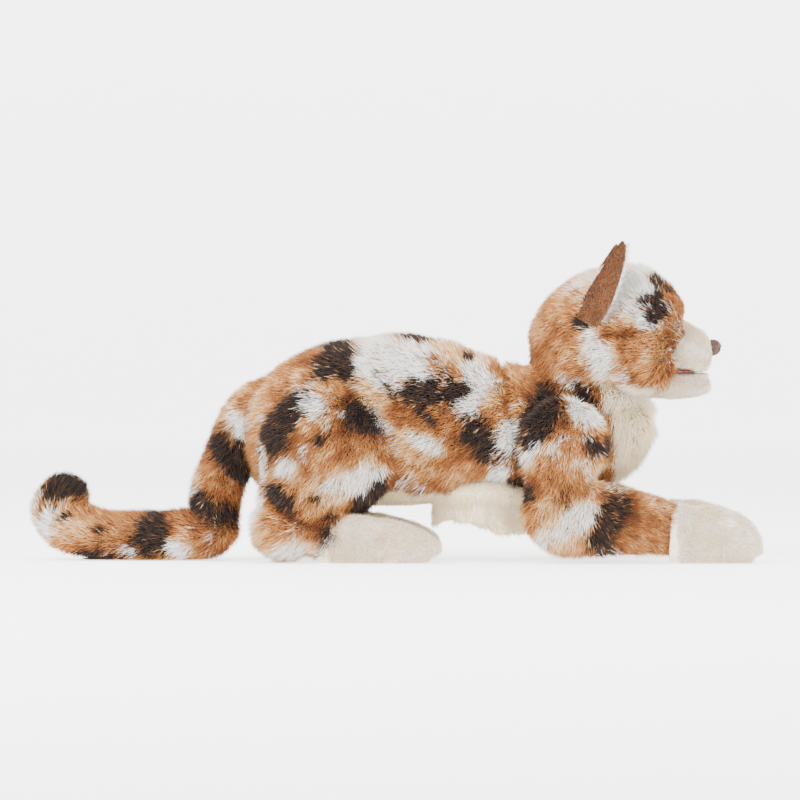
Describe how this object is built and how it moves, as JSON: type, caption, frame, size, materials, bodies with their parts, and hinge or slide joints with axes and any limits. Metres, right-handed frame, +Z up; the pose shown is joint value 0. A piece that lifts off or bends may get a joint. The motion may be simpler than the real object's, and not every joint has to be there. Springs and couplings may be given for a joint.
{
  "type": "plush cat hand puppet",
  "caption": "Crouching calico plush cat hand puppet with long fur, a jointed head, jaw, forelegs and tail, and a hand sleeve under the belly.",
  "frame": {"origin": "centre of the toy's outline on the surface that it rests on", "axes": "+X towards the nose, +Y towards the cat's left, +Z up"},
  "size_m": [0.5438, 0.138, 0.2374],
  "materials": {
    "calico_fur": "long-pile calico plush: ginger, white and black patches",
    "white_fur": "long white pile",
    "cream_plush": "short cream pile",
    "cream_cloth": "soft slack cream cloth",
    "brown_velour": "short brown velour",
    "lining_cloth": "plain woven lining",
    "mouth_felt": "dusky pink felt",
    "stuffing": "loose polyester fill",
    "eye_gloss": "glossy dark brown",
    "nose_plastic": "satin brown, moulded",
    "washer_plastic": "plain moulded",
    "whisker_line": "translucent white monofilament"
  },
  "bodies": {
    "torso": {"torso_skin": "calico_fur", "belly_panel": "cream_plush", "torso_stuffing": "stuffing", "sleeve_lining": "lining_cloth", "sleeve_cuff": "cream_cloth", "haunch_skin_left": "calico_fur", "haunch_skin_right": "calico_fur", "haunch_stuffing_left": "stuffing", "haunch_stuffing_right": "stuffing", "hind_paw_left": "cream_plush", "hind_paw_right": "cream_plush"},
    "neck": {"neck_skin": "calico_fur", "neck_lining": "lining_cloth"},
    "head": {"head_skin": "calico_fur", "muzzle_skin": "cream_plush", "hand_pocket": "lining_cloth", "mouth_lining_upper": "mouth_felt", "nose": "nose_plastic", "nose_washer": "washer_plastic", "head_stuffing_left": "stuffing", "head_stuffing_right": "stuffing", "ear_back_left": "brown_velour", "ear_back_right": "brown_velour", "ear_front_left": "white_fur", "ear_front_right": "white_fur", "eye_left": "eye_gloss", "eye_right": "eye_gloss", "eye_washer_left": "washer_plastic", "eye_washer_right": "washer_plastic", "whiskers_left": "whisker_line", "whiskers_right": "whisker_line"},
    "jaw": {"jaw_skin": "cream_plush", "thumb_pocket": "lining_cloth", "mouth_lining_lower": "mouth_felt"},
    "foreleg_left": {"foreleg_skin_left": "calico_fur", "foreleg_stuffing_left": "stuffing", "forepaw_left": "cream_plush"},
    "foreleg_right": {"foreleg_skin_right": "calico_fur", "foreleg_stuffing_right": "stuffing", "forepaw_right": "cream_plush"},
    "tail_base": {"tail_base_skin": "calico_fur", "tail_base_stuffing": "stuffing"},
    "tail_end": {"tail_end_skin": "calico_fur", "tail_end_stuffing": "stuffing"}
  },
  "joints": [
    {"name": "neck_turn", "type": "hinge", "parent": "torso", "child": "neck", "pos_m": [0.136, 0, 0.13802], "axis": [0, 0, 1], "range_deg": [-30, 30]},
    {"name": "head_nod", "type": "hinge", "parent": "neck", "child": "head", "pos_m": [0.136, 0, 0.13802], "axis": [0, 1, 0], "range_deg": [-15, 12]},
    {"name": "jaw_open", "type": "hinge", "parent": "head", "child": "jaw", "pos_m": [0.1936, 0, 0.14202], "axis": [0, 1, 0], "range_deg": [0, 22]},
    {"name": "foreleg_left_lift", "type": "hinge", "parent": "torso", "child": "foreleg_left", "pos_m": [0.126, 0.0496, 0.08651], "axis": [0, -1, 0], "range_deg": [0, 25]},
    {"name": "foreleg_right_lift", "type": "hinge", "parent": "torso", "child": "foreleg_right", "pos_m": [0.126, -0.0496, 0.08651], "axis": [0, -1, 0], "range_deg": [0, 25]},
    {"name": "tail_swing", "type": "hinge", "parent": "torso", "child": "tail_base", "pos_m": [-0.108, 0, 0.11], "axis": [0, 0, 1], "range_deg": [-25, 25]},
    {"name": "tail_curl", "type": "hinge", "parent": "tail_base", "child": "tail_end", "pos_m": [-0.134, 0, 0.0185], "axis": [0, 0, 1], "range_deg": [-30, 30]}
  ]
}
